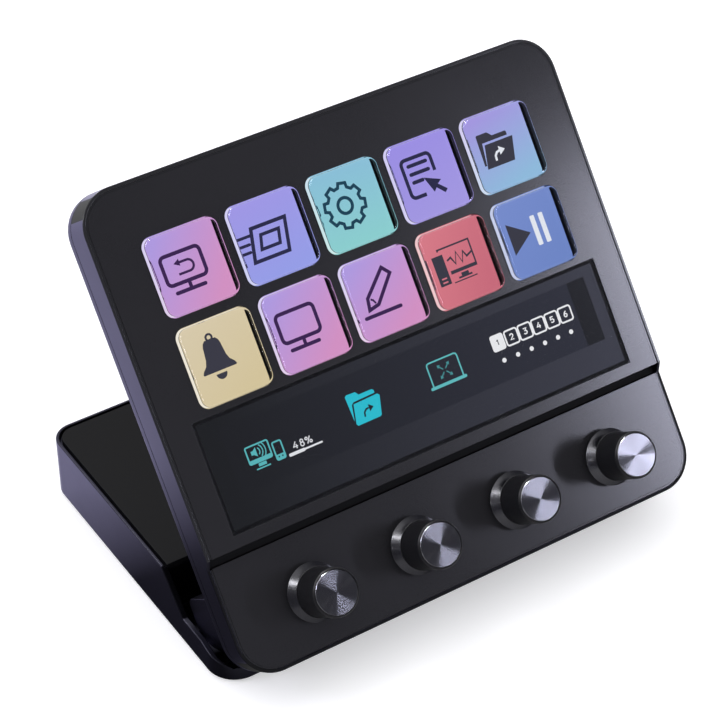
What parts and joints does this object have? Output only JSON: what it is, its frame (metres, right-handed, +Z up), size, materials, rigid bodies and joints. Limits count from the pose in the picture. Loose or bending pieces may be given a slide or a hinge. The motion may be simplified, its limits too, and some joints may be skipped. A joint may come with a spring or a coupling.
{
  "type": "macro keypad",
  "caption": "Slanted desktop keypad: clear display keys over a touch strip and a band of push-and-turn knobs, on a head hinged to a low weighted base.",
  "frame": {"origin": "middle of the bounding box in plan, on the surface that the feet stand on", "axes": "+X to the right along the width, +Y from the front edge of the base to its rear, +Z up; the hinge axis runs along X"},
  "size_m": [0.138, 0.1102, 0.1119],
  "materials": {
    "shell": "satin slate paint with a fine grain",
    "panel": "matte soft-touch charcoal",
    "lens": "gloss black glass with lit graphics",
    "key_clear": "clear polished acrylic with lit pictures below",
    "knob_dark": "black anodised, satin",
    "knob_bright": "spun bright disc with radial sheen",
    "rubber": "matte black",
    "steel": "plain machined steel",
    "brass": "plain",
    "board": "green solder resist",
    "inner": "dark moulded plastic",
    "ribbon": "amber film"
  },
  "bodies": {
    "base": {"base_shell": "shell", "base_top": "panel", "ballast_plate": "steel", "rubber_feet": "rubber", "base_screws": "steel", "hinge_posts": "steel", "hinge_pins": "steel", "hinge_washers": "brass"},
    "head": {"head_frame": "shell", "front_plate": "panel", "knob_plate": "panel", "rear_cover": "shell", "hinge_housing": "shell", "hinge_leaves": "steel", "case_screws": "steel", "leaf_screws": "steel", "strip_lens": "lens", "touch_sensor": "inner", "strip_display": "inner", "key_grid": "inner", "key_mat": "rubber", "switch_board": "board", "key_display": "inner", "strip_ribbon": "ribbon", "key_connector": "brass", "main_board": "board", "encoder_ribbon": "ribbon", "usb_socket": "steel", "encoder_bodies": "steel", "encoder_nuts": "steel", "encoder_board": "board"},
    "key_01_cap": {"key_01": "key_clear"},
    "key_02_cap": {"key_02": "key_clear"},
    "key_03_cap": {"key_03": "key_clear"},
    "key_04_cap": {"key_04": "key_clear"},
    "key_05_cap": {"key_05": "key_clear"},
    "key_06_cap": {"key_06": "key_clear"},
    "key_07_cap": {"key_07": "key_clear"},
    "key_08_cap": {"key_08": "key_clear"},
    "key_09_cap": {"key_09": "key_clear"},
    "key_10_cap": {"key_10": "key_clear"},
    "rotor_1_body": {"rotor_1": "inner"},
    "knob_1_body": {"shaft_1": "steel", "knob_1": "knob_dark", "knob_cap_1": "knob_bright"},
    "rotor_2_body": {"rotor_2": "inner"},
    "knob_2_body": {"shaft_2": "steel", "knob_2": "knob_dark", "knob_cap_2": "knob_bright"},
    "rotor_3_body": {"rotor_3": "inner"},
    "knob_3_body": {"shaft_3": "steel", "knob_3": "knob_dark", "knob_cap_3": "knob_bright"},
    "rotor_4_body": {"rotor_4": "inner"},
    "knob_4_body": {"shaft_4": "steel", "knob_4": "knob_dark", "knob_cap_4": "knob_bright"}
  },
  "joints": [
    {"name": "head_tilt", "type": "hinge", "parent": "base", "child": "head", "pos_m": [0, -0.02831, 0.0124], "axis": [1, 0, 0], "range_deg": [-50.8, 9.2]},
    {"name": "key_01_press", "type": "slide", "parent": "head", "child": "key_01_cap", "axis": [0, 0.7749, -0.632], "range_m": [0, 0.001], "stiffness_N_per_m": 300, "springref_m": -0.001},
    {"name": "key_02_press", "type": "slide", "parent": "head", "child": "key_02_cap", "axis": [0, 0.7749, -0.632], "range_m": [0, 0.001], "stiffness_N_per_m": 300, "springref_m": -0.001},
    {"name": "key_03_press", "type": "slide", "parent": "head", "child": "key_03_cap", "axis": [0, 0.7749, -0.632], "range_m": [0, 0.001], "stiffness_N_per_m": 300, "springref_m": -0.001},
    {"name": "key_04_press", "type": "slide", "parent": "head", "child": "key_04_cap", "axis": [0, 0.7749, -0.632], "range_m": [0, 0.001], "stiffness_N_per_m": 300, "springref_m": -0.001},
    {"name": "key_05_press", "type": "slide", "parent": "head", "child": "key_05_cap", "axis": [0, 0.7749, -0.632], "range_m": [0, 0.001], "stiffness_N_per_m": 300, "springref_m": -0.001},
    {"name": "key_06_press", "type": "slide", "parent": "head", "child": "key_06_cap", "axis": [0, 0.7749, -0.632], "range_m": [0, 0.001], "stiffness_N_per_m": 300, "springref_m": -0.001},
    {"name": "key_07_press", "type": "slide", "parent": "head", "child": "key_07_cap", "axis": [0, 0.7749, -0.632], "range_m": [0, 0.001], "stiffness_N_per_m": 300, "springref_m": -0.001},
    {"name": "key_08_press", "type": "slide", "parent": "head", "child": "key_08_cap", "axis": [0, 0.7749, -0.632], "range_m": [0, 0.001], "stiffness_N_per_m": 300, "springref_m": -0.001},
    {"name": "key_09_press", "type": "slide", "parent": "head", "child": "key_09_cap", "axis": [0, 0.7749, -0.632], "range_m": [0, 0.001], "stiffness_N_per_m": 300, "springref_m": -0.001},
    {"name": "key_10_press", "type": "slide", "parent": "head", "child": "key_10_cap", "axis": [0, 0.7749, -0.632], "range_m": [0, 0.001], "stiffness_N_per_m": 300, "springref_m": -0.001},
    {"name": "knob_1_turn", "type": "hinge", "parent": "head", "child": "rotor_1_body", "pos_m": [-0.04539, -0.04175, 0.02678], "axis": [0, -0.7749, 0.632], "continuous": true},
    {"name": "knob_1_push", "type": "slide", "parent": "rotor_1_body", "child": "knob_1_body", "axis": [0, 0.7749, -0.632], "range_m": [0, 0.0005], "stiffness_N_per_m": 1200, "springref_m": -0.001},
    {"name": "knob_2_turn", "type": "hinge", "parent": "head", "child": "rotor_2_body", "pos_m": [-0.01513, -0.04175, 0.02678], "axis": [0, -0.7749, 0.632], "continuous": true},
    {"name": "knob_2_push", "type": "slide", "parent": "rotor_2_body", "child": "knob_2_body", "axis": [0, 0.7749, -0.632], "range_m": [0, 0.0005], "stiffness_N_per_m": 1200, "springref_m": -0.001},
    {"name": "knob_3_turn", "type": "hinge", "parent": "head", "child": "rotor_3_body", "pos_m": [0.01513, -0.04175, 0.02678], "axis": [0, -0.7749, 0.632], "continuous": true},
    {"name": "knob_3_push", "type": "slide", "parent": "rotor_3_body", "child": "knob_3_body", "axis": [0, 0.7749, -0.632], "range_m": [0, 0.0005], "stiffness_N_per_m": 1200, "springref_m": -0.001},
    {"name": "knob_4_turn", "type": "hinge", "parent": "head", "child": "rotor_4_body", "pos_m": [0.04539, -0.04175, 0.02678], "axis": [0, -0.7749, 0.632], "continuous": true},
    {"name": "knob_4_push", "type": "slide", "parent": "rotor_4_body", "child": "knob_4_body", "axis": [0, 0.7749, -0.632], "range_m": [0, 0.0005], "stiffness_N_per_m": 1200, "springref_m": -0.001}
  ]
}
